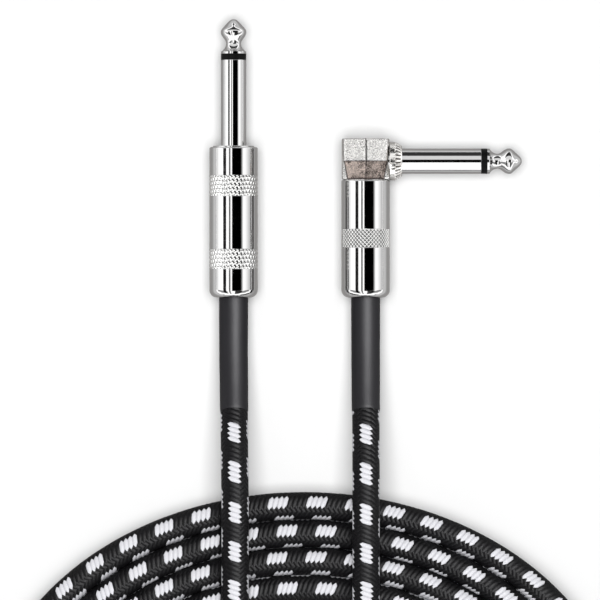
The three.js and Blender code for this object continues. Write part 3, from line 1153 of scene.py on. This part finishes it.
# The soft room round the object: white, with dark cards that give the chrome its stripes. A card is
# (degrees from overhead towards +X, the same towards +Y, how much it darkens, degrees of soft edge).
DARK_CARDS = [
    ((-7, 37), (-13, 13), 1, 1),
    ((10, 44), (-13, 13), 0.9, 7),
    ((8, 43), (-60, -13), 0.97, 1),
    ((-50.5, -35), (-60, 5), 0.99, 1),
    ((-22, -14), (-60, 5), 0.9, 1),
    ((70, 130), (-40, 40), 0.62, 24),
    ((-130, -80), (-40, 40), 0.5, 12),
    ((-70, 70), (48, 100), 0.97, 1.5),
    ((-60, 60), (13, 48), 0.4, 1.5),
    ((-80, -30), (-55, -16), 0.8, 3),
    ((30, 80), (-55, -16), 0.8, 3),
]
ROOM_LIGHT = 2.1
ROOM_ON_MATT = 0.36  # the share of the room's light that falls on matt surfaces
SOFTBOX_SIZE = 0.5
SOFTBOX_HEIGHT = 0.8
SOFTBOX_POWER = 10.0
STRIP_WIDTH = 0.42
STRIP_LENGTH = 1.2
STRIP_TO_RIGHT = 0.2
STRIP_HEIGHT = 0.6
STRIP_POWER = 42.0


def build_room():
    world = bpy.data.worlds.new("studio")
    world.use_nodes = True
    bpy.context.scene.world = world
    g = Graph(world.node_tree)
    x, y, z = g.split(g.add("ShaderNodeTexCoord", {}, output="Generated"))
    degrees = 360 / TURN
    to_x = g.math("MULTIPLY", g.math("ARCTAN2", x, z), degrees)
    to_y = g.math("MULTIPLY", g.math("ARCTAN2", y, z), degrees)
    light = ROOM_LIGHT
    for across, along, darkness, soft in DARK_CARDS:
        card = g.math("MULTIPLY", g.between(to_x, *across, soft), g.between(to_y, *along, soft))
        kept = g.math("SUBTRACT", 1.0, g.math("MULTIPLY", card, darkness))
        light = g.math("MULTIPLY", kept, light)
    matt = g.add("ShaderNodeLightPath", {}, output="Is Diffuse Ray")
    light = g.math("MULTIPLY", light, g.ramp(matt, 0.0, 1.0, 1.0, ROOM_ON_MATT))
    background = g.add("ShaderNodeBackground", {"Color": (1.0, 1.0, 1.0, 1), "Strength": light})
    g.add("ShaderNodeOutputWorld", {"Surface": background})
    bpy.context.scene.view_settings.view_transform = "Standard"


def build_softbox():
    data = bpy.data.lights.new("softbox", "AREA")
    data.size = SOFTBOX_SIZE
    data.energy = SOFTBOX_POWER
    softbox = bpy.data.objects.new("softbox", data)
    softbox.location = (VIEW_CENTRE.x, VIEW_CENTRE.y, SOFTBOX_HEIGHT)
    softbox.visible_glossy = False
    softbox.visible_camera = False
    bpy.context.collection.objects.link(softbox)


def build_strip(dark_pieces):
    """A long lamp that only the boots and the cord receive, for the band of light along them."""
    data = bpy.data.lights.new("strip", "AREA")
    data.shape = "RECTANGLE"
    data.size = STRIP_WIDTH
    data.size_y = STRIP_LENGTH
    data.energy = STRIP_POWER
    strip = bpy.data.objects.new("strip", data)
    strip.location = (VIEW_CENTRE.x + STRIP_TO_RIGHT, COIL_CENTRE.y / 2, STRIP_HEIGHT)
    strip.visible_diffuse = False
    strip.visible_camera = False
    bpy.context.collection.objects.link(strip)
    lit = bpy.data.collections.new("lit_by_strip")
    for piece in dark_pieces:
        lit.objects.link(piece)
    strip.light_linking.receiver_collection = lit


# ---- Everything ----

finishes = {
    "chrome": chrome(),
    "cast nickel": cast_nickel(),
    "polished casting": polished_casting(),
    "brass": brass(),
    "black plastic": plastic("black_plastic", (0.002, 0.002, 0.002, 1), (0.006, 0.006, 0.006, 1), 0.3, 0.004),
    "liner": plastic("liner_plastic", (0.7, 0.68, 0.62, 1), (0.8, 0.78, 0.72, 1), 0.4, 0.006),
    "jacket": plastic("jacket", (0.012, 0.012, 0.013, 1), (0.022, 0.022, 0.024, 1), 0.55, 0.01),
    "wire": plastic("wire", (0.3, 0.03, 0.02, 1), (0.42, 0.05, 0.04, 1), 0.4, 0.006),
    "shrink tube": shrink_tube(),
    "braid": braid(),
}

build_camera()
boots = build_boots(in_metres(STRAIGHT_LEAD), in_metres(ANGLE_LEAD))
cord, cord_length = build_cord()
build_straight_plug()
build_angle_plug()
finish_inner_nodes()
build_floor()
build_room()
build_softbox()
build_strip([cord, *boots])

print("cord length", round(cord_length, 3))
